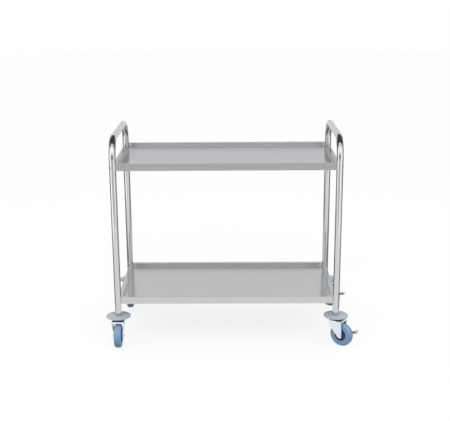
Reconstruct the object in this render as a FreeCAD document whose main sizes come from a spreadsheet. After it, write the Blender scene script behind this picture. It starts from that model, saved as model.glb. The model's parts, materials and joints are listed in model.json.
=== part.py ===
# Serving trolley: two sheet steel trays between two bent tube end frames, on four swivel castors.
# Millimetres, +Z up. The user stands at -Y, the trolley's length runs along X.
# The origin is on the floor, midway between the four legs.
import FreeCAD, Part
import math
import os
import re
import Sketcher

V = FreeCAD.Vector
UP = V(0, 0, 1)
# Two places closer than this are the same place.
SAME = 0.001
QUARTER_TURN = 90
HEX_SIDES = 6

# Driving dimensions, in millimetres unless the note says otherwise.
SIZES = [
    ("overall_width", 950, "across the outsides of the end frames"),
    ("overall_depth", 490, "across the outsides of one end frame's legs"),
    ("overall_height", 900, "floor to the top of the handles"),
    ("tube_dia", 28, "end frame tube, outside"),
    ("tube_wall", 1.2, "end frame tube, wall"),
    ("handle_bend", 80, "bend radius of the tube's centre line"),
    ("handle_straight", 18, "straight leg between the top tray's rim and the handle's bend"),
    ("stem_clearance", 11.2, "castor stem's end up to the low tray's bolt holes"),
    ("rim_height", 30, "height of a tray's outer face"),
    ("ledge_width", 18, "flat top of a tray's rim"),
    ("well_depth", 16, "rim down to the tray's floor"),
    ("well_corner", 10, "corner radius of the well, in plan"),
    ("well_bend", 2, "bend between the well's walls and floor"),
    ("tray_sheet", 1.2, "tray sheet thickness"),
    ("tray_bend", 1.2, "outside bend radius along the rim"),
    ("hem_width", 8, "return flange under a tray's outer face"),
    ("leg_gap", 0.3, "gap between a leg and the notched tray corner"),
    ("stiffener_width", 44, "inside width of the channel under a tray"),
    ("stiffener_depth", 10, "depth of that channel"),
    ("stiffener_flange", 14, "welding flange each side of that channel"),
    ("stiffener_sheet", 1.2, "sheet thickness of that channel"),
    ("stiffener_end_gap", 46, "channel's end to the well's end wall"),
    ("bolt_dia", 6, "tray bolt shank"),
    ("bolt_hole_dia", 6.6, "hole for a tray bolt"),
    ("bolt_head_dia", 10.5, "button head"),
    ("bolt_head_height", 3.3, "button head"),
    ("bolt_head_flat", 5.8, "flat on top of the button head, across"),
    ("bolt_socket", 4, "hex socket, across flats"),
    ("bolt_socket_depth", 2, "hex socket"),
    ("bolt_tail", 2, "thread past the nut"),
    ("bolt_chamfer", 0.6, "thread end"),
    ("washer_dia", 12, "tray washer, outside"),
    ("washer_bore", 6.4, "tray washer"),
    ("washer_height", 1.6, "tray washer"),
    ("nut_flats", 10, "tray nut, across flats"),
    ("nut_height", 5, "tray nut"),
    ("thread_play", 0.05, "radial play between a nut and its plain shank"),
    ("disc_dia", 104, "bumper disc"),
    ("disc_thickness", 4, "bumper disc at its middle"),
    ("disc_edge", 1.6, "edge radius of the bumper disc"),
    ("disc_seat_dia", 34, "flat middle of the bumper disc"),
    ("disc_bore_gap", 0.2, "radial gap between disc and stem"),
    ("stem_dia", 12, "castor stem"),
    ("stem_head_dia", 22, "stem's head under the fork"),
    ("stem_head_height", 5, "stem's head"),
    ("stem_chamfer", 1, "stem's top end"),
    ("stem_tail", 7, "thread past the stem nut"),
    ("plug_length", 35, "plug in the tube's foot"),
    ("plug_play", 0.1, "radial play of the plug in the tube and on the stem"),
    ("stem_nut_flats", 19, "stem nut, across flats"),
    ("stem_nut_height", 10, "stem nut"),
    ("wheel_gap", 6.7, "wheel's top to the stem's head"),
    ("fork_sheet", 3, "fork sheet thickness"),
    ("fork_front", 16.5, "swivel axis to the legs' front edge"),
    ("fork_rear", 40, "swivel axis to the fork's rear edge"),
    ("fork_lobe", 25, "radius of the crown's round front, about the swivel axis"),
    ("fork_lip", 8, "height of the crown's rear lip"),
    ("fork_front_drop", 31, "height of the legs' upright front edge"),
    ("fork_rear_drop", 12, "height of the legs' upright rear edge"),
    ("fork_crown_half", 27, "half width across the crown, outside"),
    ("fork_axle_half", 20.5, "half width across the legs at the axle, outside"),
    ("fork_shoulder", 9, "crown's top down to where the legs start to taper"),
    ("fork_taper_end", 18, "axle up to where the taper ends"),
    ("fork_bend", 6, "outside bend radius between crown and legs"),
    ("fork_tip", 13, "tip radius round the axle"),
    ("race_radius", 19, "swivel axis to the balls"),
    ("race_boss_width", 9.6, "ring on the crown that the balls run on"),
    ("race_boss_height", 2, "ring on the crown that the balls run on"),
    ("race_gap", 1.8, "between that ring and the upper race"),
    ("race_skirt_gap", 0.7, "between that ring and the upper race's skirt"),
    ("race_skirt", 2.6, "thickness of the upper race's skirt"),
    ("race_lift", 0.8, "crown up to the skirt's lower edge"),
    ("race_lid", 7.7, "upper race, from the ceiling over the balls to its top"),
    ("race_edge", 1.5, "rounding of the upper race's top edge"),
    ("ball_dia", 5, "swivel ball"),
    ("ball_count", 16, "balls in one swivel, a count"),
    ("ball_play", 0.1, "play between a ball and its groove"),
    ("pivot_gap", 0.3, "gap between the stem's head and the crown"),
    ("running_play", 0.06, "radial play of a running fit"),
    ("wheel_dia", 100, "tyre, outside"),
    ("castor_trail", 31, "swivel axis to axle"),
    ("tyre_width", 30, "tyre"),
    ("tyre_shoulder", 8, "tyre's outer edge radius"),
    ("tyre_foot", 3, "height of the slope at the foot of the tyre's side"),
    ("tyre_seat_dia", 60, "core's rim, which carries the tyre"),
    ("tyre_seat_play", 0.05, "play between core and tyre"),
    ("core_rim_width", 26, "core's rim"),
    ("core_rim", 3, "thickness of the core's rim"),
    ("core_web", 8, "thickness of the core's web"),
    ("core_hub_dia", 24, "core's hub"),
    ("core_fillet", 2, "rounding where the web meets hub and rim"),
    ("hub_gap", 0.4, "gap between hub and fork leg"),
    ("sleeve_dia", 12, "axle sleeve"),
    ("sleeve_gap", 0.1, "gap between the sleeve's end and the fork leg"),
    ("axle_dia", 8, "axle bolt shank"),
    ("axle_play", 0.05, "radial play of the axle bolt in leg and sleeve"),
    ("axle_flats", 13, "axle bolt head and nut, across flats"),
    ("axle_head", 4, "axle bolt's low head"),
    ("axle_nut", 5, "axle nut"),
    ("axle_tail", 1.2, "thread past the axle nut"),
    ("cam_dia", 20, "brake cam ring"),
    ("cam_height", 2, "brake cam ring"),
    ("lever_sheet", 3, "brake lever sheet thickness"),
    ("lever_gap", 0.3, "side gap of the brake lever"),
    ("lever_eye", 18, "brake lever's eye, across"),
    ("lever_arm", 10, "height of the brake lever's arm"),
    ("lever_reach", 64, "axle to the brake lever's end"),
    ("lever_foot_length", 24, "foot plate along the lever"),
    ("lever_foot_width", 17, "foot plate across the lever"),
    ("lever_foot_corner", 5, "foot plate's corner radius"),
    ("lever_rise", 11.5, "slope of the brake lever at rest, degrees"),
    ("left_heading", -90, "direction of the left castors' trail, degrees from +X"),
    ("right_heading", -36, "direction of the right castors' trail, degrees from +X"),
    ("overrun", 1, "how far a cut runs past what it cuts"),
]
NAMES = {name for name, number, note in SIZES}

# Places worked out from the sizes above, as formulas.
LEG_X = "((overall_width - tube_dia) / 2)"
LEG_Y = "((overall_depth - tube_dia) / 2)"
TUBE_R = "(tube_dia / 2)"
TUBE_BORE_R = "(tube_dia / 2 - tube_wall)"
HANDLE_Z = "(overall_height - tube_dia / 2)"
TOP_RIM = f"({HANDLE_Z} - handle_bend - handle_straight)"
AXLE_Z = "(wheel_dia / 2)"
AXLE_INNER = "(fork_axle_half - fork_sheet)"
STEM_HEAD_TOP = "(wheel_dia + wheel_gap + stem_head_height)"
CROWN_UNDERSIDE = f"({STEM_HEAD_TOP} + pivot_gap)"
FORK_TOP = f"({CROWN_UNDERSIDE} + fork_sheet)"
BOSS_TOP = f"({FORK_TOP} + race_boss_height)"
BOSS_OUTER = "(race_radius + race_boss_width / 2)"
SKIRT_BORE = f"({BOSS_OUTER} + race_skirt_gap)"
SKIRT_OUTER = f"({SKIRT_BORE} + race_skirt)"
RACE_CEILING = f"({BOSS_TOP} + race_gap)"
BALL_Z = f"({BOSS_TOP} + race_gap / 2)"
GROOVE_R = "(ball_dia / 2 + ball_play)"
DISC_Z = f"({RACE_CEILING} + race_lid)"
FOOT_Z = f"({DISC_Z} + disc_thickness)"
PLUG_TOP = f"({FOOT_Z} + plug_length)"
STEM_NUT_TOP = f"({PLUG_TOP} + stem_nut_height)"
LOW_BOLT_Z = f"({STEM_NUT_TOP} + stem_tail + stem_clearance + bolt_hole_dia / 2)"
LOW_RIM = f"({LOW_BOLT_Z} + rim_height / 2)"
WELL_X = f"({LEG_X} - ledge_width)"
WELL_Y = f"({LEG_Y} - ledge_width)"
FLOOR_UNDERSIDE = "(rim_height - well_depth - tray_sheet)"
NOTCH_R = f"({TUBE_R} + leg_gap)"
WASHER_SEAT = f"({NOTCH_R} + tray_sheet)"
NUT_SEAT = f"({WASHER_SEAT} + washer_height)"
LEVER_SEAT = "(fork_axle_half + cam_height + lever_gap)"
BRAKED_NUT_SEAT = f"({LEVER_SEAT} + lever_sheet + lever_gap)"

SIDES = {"left": -1, "right": 1}
ENDS = {"front": -1, "rear": 1}
TRAYS = {"top_tray": TOP_RIM, "low_tray": LOW_RIM}

doc = FreeCAD.newDocument("ServingTrolley")
sheet = doc.addObject("Spreadsheet::Sheet", "Dimensions")
for row, (name, number, note) in enumerate(SIZES, start=1):
    sheet.set(f"A{row}", name)
    sheet.set(f"B{row}", str(number))
    sheet.set(f"C{row}", note)
    sheet.setAlias(f"B{row}", name)
doc.recompute()

nodes = []


def formula(text):
    """The formula with every size's name pointed at its cell."""
    return re.sub(r"[a-z][a-z_]*", lambda word: ("Dimensions." if word[0] in NAMES else "") + word[0], text)


def value(text):
    """What a formula comes to now."""
    return float(sheet.evalExpression(formula(text)))


def origin_feature(body, role):
    return next(feature for feature in body.Origin.OriginFeatures if feature.Role == role)


def new_body(label, node=True):
    """An empty body; with node it becomes a file of its own."""
    body = doc.addObject("PartDesign::Body", label)
    body.Label = label
    if node:
        nodes.append(body)
    return body


def place(thing, x="0", y="0", z="0", heading="0"):
    """Stand a piece at a point, turned about +Z by a heading in degrees."""
    # A turn by nothing has no axis, so it starts as a quarter turn that the last line sets back.
    turn = FreeCAD.Rotation(UP, value(heading) or QUARTER_TURN)
    thing.Placement = FreeCAD.Placement(V(value(x), value(y), value(z)), turn)
    for axis, text in zip("xyz", (x, y, z)):
        thing.setExpression(f"Placement.Base.{axis}", formula(text))
    thing.setExpression("Placement.Rotation.Angle", formula(heading))


class Drawing:
    """A fully constrained sketch on an origin plane of its body, moved by an offset in that plane's axes."""

    def __init__(self, body, name, plane="XY_Plane", offset=("0", "0", "0"), turn=None):
        self.body = body
        self.sketch = body.newObject("Sketcher::SketchObject", name)
        self.sketch.AttachmentSupport = [(origin_feature(body, plane), "")]
        self.sketch.MapMode = "FlatFace"
        base = V(*(value(text) for text in offset))
        self.sketch.AttachmentOffset = FreeCAD.Placement(base, turn or FreeCAD.Rotation())
        for axis, text in zip("xyz", offset):
            if text != "0":
                self.sketch.setExpression(f"AttachmentOffset.Base.{axis}", formula(text))

    def constrain(self, kind, *what):
        return self.sketch.addConstraint(Sketcher.Constraint(kind, *what))

    def measure(self, kind, what, text):
        """A dimension bound to a formula, or an axis where the formula is zero."""
        if text == "0":
            axis = -2 if kind == "DistanceX" else -1
            self.constrain("PointOnObject", what[-2], what[-1], axis)
            return
        index = self.constrain(kind, *what, value(text))
        self.sketch.setExpression(f"Constraints[{index}]", formula(text))

    def fix(self, item, point, x, y):
        """Hold one point of an item at a place measured from the sketch's origin."""
        self.measure("DistanceX", (-1, 1, item, point), x)
        self.measure("DistanceY", (-1, 1, item, point), y)

    def circle(self, x, y, radius):
        centre = V(value(x), value(y), 0)
        item = self.sketch.addGeometry(Part.Circle(centre, UP, value(radius)))
        self.fix(item, 3, x, y)
        self.measure("Radius", (item,), radius)

    def outline(self, corners, arcs=None):
        """A closed outline. arcs gives, for the side after a corner, (centre x, centre y, radius, way).

        The way is clockwise, counter, or half for a half circle that runs counterclockwise.
        """
        arcs = arcs or {}
        ends = []
        for number, (x, y) in enumerate(corners):
            start = V(value(x), value(y), 0)
            after = corners[(number + 1) % len(corners)]
            end = V(value(after[0]), value(after[1]), 0)
            if number in arcs:
                centre_x, centre_y, radius, way = arcs[number]
                centre = V(value(centre_x), value(centre_y), 0)
                angles = [math.atan2(p.y - centre.y, p.x - centre.x) for p in (start, end)]
                if way == "clockwise":
                    angles.reverse()
                if angles[1] < angles[0]:
                    angles[1] += 2 * math.pi
                shape = Part.ArcOfCircle(Part.Circle(centre, UP, value(radius)), *angles)
                item = self.sketch.addGeometry(shape)
                if way == "half":
                    self.measure("DistanceX", (-1, 1, item, 3), centre_x)
                else:
                    self.measure("Radius", (item,), radius)
                ends.append((item, 2, 1) if way == "clockwise" else (item, 1, 2))
            else:
                item = self.sketch.addGeometry(Part.LineSegment(start, end))
                ends.append((item, 1, 2))
        for number, (x, y) in enumerate(corners):
            item, first, last = ends[number]
            before, before_first, before_last = ends[number - 1]
            self.constrain("Coincident", before, before_last, item, first)
            self.fix(item, first, x, y)

    def rounded(self, half_x, half_y, radius):
        """A rectangle about the origin with rounded corners."""
        corners = []
        arcs = {}
        for sign_x, sign_y in ((1, 1), (-1, 1), (-1, -1), (1, -1)):
            near = (f"{sign_x} * {half_x}", f"{sign_y} * ({half_y} - {radius})")
            far = (f"{sign_x} * ({half_x} - {radius})", f"{sign_y} * {half_y}")
            pair = [near, far] if sign_x * sign_y > 0 else [far, near]
            arcs[len(corners)] = (far[0], near[1], radius, "counter")
            corners += pair
        self.outline(corners, arcs)

    def notched(self, inset, notch):
        """The tray's outline inset by a width, each corner notched round the leg by a radius."""
        half_x = f"({LEG_X} - {inset})"
        half_y = f"({LEG_Y} - {inset})"
        reach = f"sqrt({notch} * {notch} - {inset} * {inset})"
        corners = []
        arcs = {}
        for sign_x, sign_y in ((1, 1), (-1, 1), (-1, -1), (1, -1)):
            near = (f"{sign_x} * {half_x}", f"{sign_y} * ({LEG_Y} - {reach})")
            far = (f"{sign_x} * ({LEG_X} - {reach})", f"{sign_y} * {half_y}")
            pair = [near, far] if sign_x * sign_y > 0 else [far, near]
            arcs[len(corners)] = (f"{sign_x} * {LEG_X}", f"{sign_y} * {LEG_Y}", notch, "clockwise")
            corners += pair
        self.outline(corners, arcs)

    def hexagon(self, x, y, flats):
        """A hexagon with two corners on a line along the sketch's X."""
        corners = []
        for step in range(HEX_SIDES):
            turn = 360 / HEX_SIDES * step
            across = f"{flats} / sqrt(3) * cos({turn} deg)"
            up = f"{flats} / sqrt(3) * sin({turn} deg)"
            corners.append((f"{x} + {across}", f"{y} + {up}"))
        self.outline(corners)


def feature(kind, drawing, **settings):
    """A feature made from a drawing; a length given as a formula is bound to its cells."""
    made = drawing.body.newObject(f"PartDesign::{kind}", drawing.sketch.Name + kind)
    made.Profile = drawing.sketch
    drawing.sketch.Visibility = False
    for name, setting in settings.items():
        if name == "Length":
            made.Length = value(setting)
            made.setExpression("Length", formula(setting))
        else:
            setattr(made, name, setting)
    doc.recompute()
    return made


def cut(drawing, **settings):
    """A pocket that is sure to take material away."""
    before = drawing.body.Shape.Volume
    made = feature("Pocket", drawing, **settings)
    if drawing.body.Shape.Volume >= before:
        raise RuntimeError(f"{made.Label} cuts nothing")
    return made


def turned(drawing, axis="V_Axis"):
    return feature("Revolution", drawing, ReferenceAxis=(drawing.sketch, [axis]), Angle=360)


def round_edges(body, radius, wanted):
    """Round the edges that a test picks out by their place."""
    base = body.Tip
    names = [f"Edge{n}" for n, edge in enumerate(base.Shape.Edges, start=1) if wanted(edge)]
    fillet = body.newObject("PartDesign::Fillet", body.Name + "Rounding")
    fillet.Base = (base, names)
    fillet.Radius = value(radius)
    fillet.setExpression("Radius", formula(radius))
    doc.recompute()
    return fillet


def level(edge, height):
    """Whether an edge lies wholly at a height."""
    box = edge.BoundBox
    return abs(box.ZMin - height) < SAME and abs(box.ZMax - height) < SAME


def gather(label, members):
    """Identical pieces kept together as one node."""
    group = doc.addObject("Part::Compound", label)
    group.Label = label
    group.Links = members
    nodes.append(group)


def end_frame(side):
    """One tube bent into two legs and the handle between them, drilled for the tray bolts."""
    body = new_body(f"{side}_end_frame")
    place(body, x=f"{SIDES[side]} * {LEG_X}")
    path = Drawing(body, f"{side}_path", "YZ_Plane")
    sketch = path.sketch
    leg, top, foot, bend = (value(text) for text in (LEG_Y, HANDLE_Z, FOOT_Z, "handle_bend"))
    flank = leg - bend
    shoulder = top - bend
    quarter = math.pi / 2
    runs = [
        Part.LineSegment(V(-leg, foot, 0), V(-leg, shoulder, 0)),
        Part.ArcOfCircle(Part.Circle(V(-flank, shoulder, 0), UP, bend), quarter, 2 * quarter),
        Part.LineSegment(V(-flank, top, 0), V(flank, top, 0)),
        Part.ArcOfCircle(Part.Circle(V(flank, shoulder, 0), UP, bend), 0, quarter),
        Part.LineSegment(V(leg, shoulder, 0), V(leg, foot, 0)),
    ]
    near_leg, near_bend, grip, far_bend, far_leg = (sketch.addGeometry(run) for run in runs)
    path.constrain("Tangent", near_leg, 2, near_bend, 2)
    path.constrain("Tangent", near_bend, 1, grip, 1)
    path.constrain("Tangent", grip, 2, far_bend, 2)
    path.constrain("Tangent", far_bend, 1, far_leg, 1)
    path.constrain("Vertical", near_leg)
    path.constrain("Horizontal", grip)
    path.constrain("Vertical", far_leg)
    path.measure("Radius", (near_bend,), "handle_bend")
    path.measure("Radius", (far_bend,), "handle_bend")
    path.fix(near_leg, 1, f"-{LEG_Y}", FOOT_Z)
    path.fix(far_leg, 2, LEG_Y, FOOT_Z)
    path.measure("DistanceY", (-1, 1, grip, 1), HANDLE_Z)
    section = Drawing(body, f"{side}_section", "XY_Plane", ("0", f"-{LEG_Y}", FOOT_Z))
    section.circle("0", "0", TUBE_R)
    section.circle("0", "0", TUBE_BORE_R)
    feature("AdditivePipe", section, Spine=path.sketch)
    for end, sign in ENDS.items():
        outward = V(SIDES[side], sign, 0)
        for tray, height in TRAYS.items():
            spot = ("0", f"{sign} * {LEG_Y}", f"{height} - rim_height / 2")
            hole = Drawing(body, f"{side}_{end}_{tray}_hole", "XY_Plane", spot, FreeCAD.Rotation(UP, outward))
            hole.circle("0", "0", "bolt_hole_dia / 2")
            cut(hole, SideType="Symmetric", Length="tube_dia + 2 * overrun")


def tray(label, height):
    """One sheet: floor, well walls, ledge, outer face and hem, notched and drilled at the legs."""
    body = new_body(label)
    place(body, z=f"{height} - rim_height")
    blank = Drawing(body, f"{label}_blank")
    blank.notched("0", NOTCH_R)
    feature("Pad", blank, Length="rim_height")
    well = Drawing(body, f"{label}_well", offset=("0", "0", "rim_height"))
    well.rounded(WELL_X, WELL_Y, "well_corner")
    cut(well, Length="well_depth")
    under_floor = Drawing(body, f"{label}_under_floor", offset=("0", "0", "tray_sheet"))
    under_floor.notched("tray_sheet", WASHER_SEAT)
    cut(under_floor, Length=f"{FLOOR_UNDERSIDE} - tray_sheet", Reversed=True)
    rim = Drawing(body, f"{label}_in_rim", offset=("0", "0", "tray_sheet"))
    rim.notched("tray_sheet", WASHER_SEAT)
    rim.rounded(f"({WELL_X} + tray_sheet)", f"({WELL_Y} + tray_sheet)", "(well_corner + tray_sheet)")
    cut(rim, Length="rim_height - 2 * tray_sheet", Reversed=True)
    mouth = Drawing(body, f"{label}_mouth")
    mouth.notched("hem_width", f"({NOTCH_R} + hem_width)")
    cut(mouth, Length="tray_sheet + overrun", Reversed=True)
    for side, sign_x in SIDES.items():
        for end, sign_y in ENDS.items():
            spot = (f"{sign_x} * {LEG_X}", f"{sign_y} * {LEG_Y}", "rim_height / 2")
            turn = FreeCAD.Rotation(UP, V(sign_x, sign_y, 0))
            hole = Drawing(body, f"{label}_{side}_{end}_hole", offset=spot, turn=turn)
            hole.circle("0", "0", "bolt_hole_dia / 2")
            cut(hole, Length=f"{WASHER_SEAT} + overrun")
    rim_top = value("rim_height")
    floor_top = value("rim_height - well_depth")
    round_edges(body, "well_bend", lambda edge: level(edge, floor_top))
    round_edges(body, "tray_bend", lambda edge: level(edge, rim_top) and not is_notch(edge))
    return body


def is_notch(edge):
    """Whether an edge is the arc where a tray's corner goes round a leg."""
    return hasattr(edge.Curve, "Radius") and abs(edge.Curve.Radius - value(NOTCH_R)) < SAME


def stiffener(label, height):
    """Channel welded under the tray's floor, along its middle."""
    body = new_body(f"{label}_stiffener")
    place(body, z=f"{height} - rim_height + {FLOOR_UNDERSIDE}")
    profile = Drawing(body, f"{label}_channel", "YZ_Plane")
    inside = "(stiffener_width / 2)"
    outside = "(stiffener_width / 2 + stiffener_sheet)"
    edge = "(stiffener_width / 2 + stiffener_flange)"
    corners = [
        (edge, "0"),
        (edge, "-stiffener_sheet"),
        (outside, "-stiffener_sheet"),
        (outside, "-stiffener_depth"),
        (f"-{outside}", "-stiffener_depth"),
        (f"-{outside}", "-stiffener_sheet"),
        (f"-{edge}", "-stiffener_sheet"),
        (f"-{edge}", "0"),
        (f"-{inside}", "0"),
        (f"-{inside}", "stiffener_sheet - stiffener_depth"),
        (inside, "stiffener_sheet - stiffener_depth"),
        (inside, "0"),
    ]
    profile.outline(corners)
    feature("Pad", profile, SideType="Symmetric", Length=f"2 * ({WELL_X} - stiffener_end_gap)")


def tray_bolt(label):
    """Button-head bolt along X, its origin on the leg's axis and its head outward."""
    body = new_body(label, node=False)
    shank = "(bolt_dia / 2)"
    head = "(bolt_head_dia / 2)"
    flat = "(bolt_head_flat / 2)"
    face = f"({TUBE_R} + bolt_head_height)"
    tail = f"({NUT_SEAT} + nut_height + bolt_tail)"
    # The head's dome is part of a sphere through its rim and the edge of its flat.
    squares = f"({head} * {head} - {flat} * {flat} - bolt_head_height * bolt_head_height)"
    rim_to_centre = f"({squares} / (2 * bolt_head_height))"
    dome = f"sqrt({rim_to_centre} * {rim_to_centre} + {head} * {head})"
    profile = Drawing(body, f"{label}_profile")
    corners = [
        (f"-{tail}", "0"),
        (face, "0"),
        (face, flat),
        (TUBE_R, head),
        (TUBE_R, shank),
        (f"bolt_chamfer - {tail}", shank),
        (f"-{tail}", f"{shank} - bolt_chamfer"),
    ]
    profile.outline(corners, {2: (f"{TUBE_R} - {rim_to_centre}", "0", dome, "counter")})
    turned(profile, "H_Axis")
    socket = Drawing(body, f"{label}_socket", "YZ_Plane", ("0", "0", face))
    socket.hexagon("0", "0", "bolt_socket")
    cut(socket, Length="bolt_socket_depth")
    return body


def tray_washer(label):
    """Washer along X against the inside of the notched corner."""
    body = new_body(label, node=False)
    ring = Drawing(body, f"{label}_ring", "YZ_Plane", ("0", "0", f"-{NUT_SEAT}"))
    ring.circle("0", "0", "washer_dia / 2")
    ring.circle("0", "0", "washer_bore / 2")
    feature("Pad", ring, Length="washer_height")
    return body


def tray_nut(label):
    """Hex nut along X against the washer."""
    body = new_body(label, node=False)
    ring = Drawing(body, f"{label}_hex", "YZ_Plane", ("0", "0", f"-({NUT_SEAT} + nut_height)"))
    ring.hexagon("0", "0", "nut_flats")
    ring.circle("0", "0", "bolt_dia / 2 + thread_play")
    feature("Pad", ring, Length="nut_height")
    return body


def tray_fasteners():
    """A bolt, washer and nut at each leg of each tray, at 45 degrees through the corner."""
    makers = {"tray_bolts": tray_bolt, "tray_washers": tray_washer, "tray_nuts": tray_nut}
    corners = [(1, 1), (-1, 1), (-1, -1), (1, -1)]
    for group, maker in makers.items():
        members = []
        for height in TRAYS.values():
            for sign_x, sign_y in corners:
                piece = maker(f"{group}_{len(members) + 1}")
                spot_z = f"{height} - rim_height / 2"
                outward = str(math.degrees(math.atan2(sign_y, sign_x)))
                place(piece, f"{sign_x} * {LEG_X}", f"{sign_y} * {LEG_Y}", spot_z, outward)
                members.append(piece)
        gather(group, members)


def revolved(label, corners, arcs=None, node=True):
    """A body turned about the swivel axis from (radius, height) corners."""
    body = new_body(label, node)
    profile = Drawing(body, f"{label}_profile", "XZ_Plane")
    profile.outline(corners, arcs)
    turned(profile)
    return body


def bumper(label):
    """Soft disc between the leg's foot and the castor, with a rounded edge."""
    bore = "(stem_dia / 2 + disc_bore_gap)"
    edge = "(disc_dia / 2 - disc_edge)"
    corners = [
        (bore, DISC_Z),
        (edge, DISC_Z),
        (edge, f"{DISC_Z} + 2 * disc_edge"),
        ("disc_seat_dia / 2", FOOT_Z),
        (bore, FOOT_Z),
    ]
    return revolved(label, corners, {1: (edge, f"{DISC_Z} + disc_edge", "disc_edge", "half")})


def stem(label):
    """Castor stem: the head carries the fork from below, the shank goes up through the plug."""
    shank = "(stem_dia / 2)"
    top = f"({STEM_NUT_TOP} + stem_tail)"
    corners = [
        ("0", f"{STEM_HEAD_TOP} - stem_head_height"),
        ("stem_head_dia / 2", f"{STEM_HEAD_TOP} - stem_head_height"),
        ("stem_head_dia / 2", STEM_HEAD_TOP),
        (shank, STEM_HEAD_TOP),
        (shank, f"{top} - stem_chamfer"),
        (f"{shank} - stem_chamfer", top),
        ("0", top),
    ]
    return revolved(label, corners)


def plug(label):
    """Plug in the tube's foot, bored for the stem."""
    bore = "(stem_dia / 2 + plug_play)"
    outside = f"({TUBE_BORE_R} - plug_play)"
    return revolved(label, [(bore, FOOT_Z), (outside, FOOT_Z), (outside, PLUG_TOP), (bore, PLUG_TOP)], node=False)


def stem_nut(label):
    """Nut that draws the stem up through the plug."""
    body = new_body(label, node=False)
    ring = Drawing(body, f"{label}_hex", offset=("0", "0", PLUG_TOP))
    ring.hexagon("0", "0", "stem_nut_flats")
    ring.circle("0", "0", "stem_dia / 2 + thread_play")
    feature("Pad", ring, Length="stem_nut_height")
    return body


def upper_race(label):
    """Dark ring under the disc, grooved for the balls, with a skirt round the crown's ring."""
    bore = "(stem_dia / 2 + thread_play)"
    skirt_foot = f"({FORK_TOP} + race_lift)"
    half_groove = f"sqrt({GROOVE_R} * {GROOVE_R} - race_gap / 2 * race_gap / 2)"
    corners = [
        (bore, RACE_CEILING),
        (f"race_radius - {half_groove}", RACE_CEILING),
        (f"race_radius + {half_groove}", RACE_CEILING),
        (SKIRT_BORE, RACE_CEILING),
        (SKIRT_BORE, skirt_foot),
        (SKIRT_OUTER, skirt_foot),
        (SKIRT_OUTER, f"{DISC_Z} - race_edge"),
        (f"{SKIRT_OUTER} - race_edge", DISC_Z),
        (bore, DISC_Z),
    ]
    arcs = {
        1: ("race_radius", BALL_Z, GROOVE_R, "clockwise"),
        6: (f"{SKIRT_OUTER} - race_edge", f"{DISC_Z} - race_edge", "race_edge", "counter"),
    }
    return revolved(label, corners, arcs)


def ball_ring(label):
    """The balls between the fork's ring and the upper race."""
    body = new_body(label)
    half = Drawing(body, f"{label}_half", "XZ_Plane", ("race_radius", BALL_Z, "0"))
    radius = "(ball_dia / 2)"
    half.outline([("0", f"-{radius}"), ("0", radius)], {0: ("0", "0", radius, "half")})
    ball = turned(half)
    ring = body.newObject("PartDesign::PolarPattern", f"{label}_ring")
    ring.Originals = [ball]
    ring.Axis = (origin_feature(body, "Z_Axis"), [""])
    ring.Angle = 360
    ring.Occurrences = int(value("ball_count"))
    ring.setExpression("Occurrences", formula("ball_count"))
    body.Tip = ring
    doc.recompute()
    return body


def fork_front(drawing, inset, top, bend):
    """The fork seen along its trail: legs tapered in from the crown, inset by a sheet for the inside."""
    crown = f"(fork_crown_half - {inset})"
    foot = f"(fork_axle_half - {inset})"
    shoulder = f"({FORK_TOP} - fork_shoulder)"
    taper_end = f"({AXLE_Z} + fork_taper_end)"
    bottom = f"({AXLE_Z} - fork_tip - overrun)"
    right = [(foot, bottom), (foot, taper_end), (crown, shoulder), (crown, f"{top} - {bend}")]
    corners = right + [(f"{crown} - {bend}", top), (f"{bend} - {crown}", top)]
    corners += [(f"-{x}", y) for x, y in reversed(right)]
    arcs = {
        3: (f"{crown} - {bend}", f"{top} - {bend}", bend, "counter"),
        5: (f"{bend} - {crown}", f"{top} - {bend}", bend, "counter"),
    }
    drawing.outline(corners, arcs)


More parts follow.
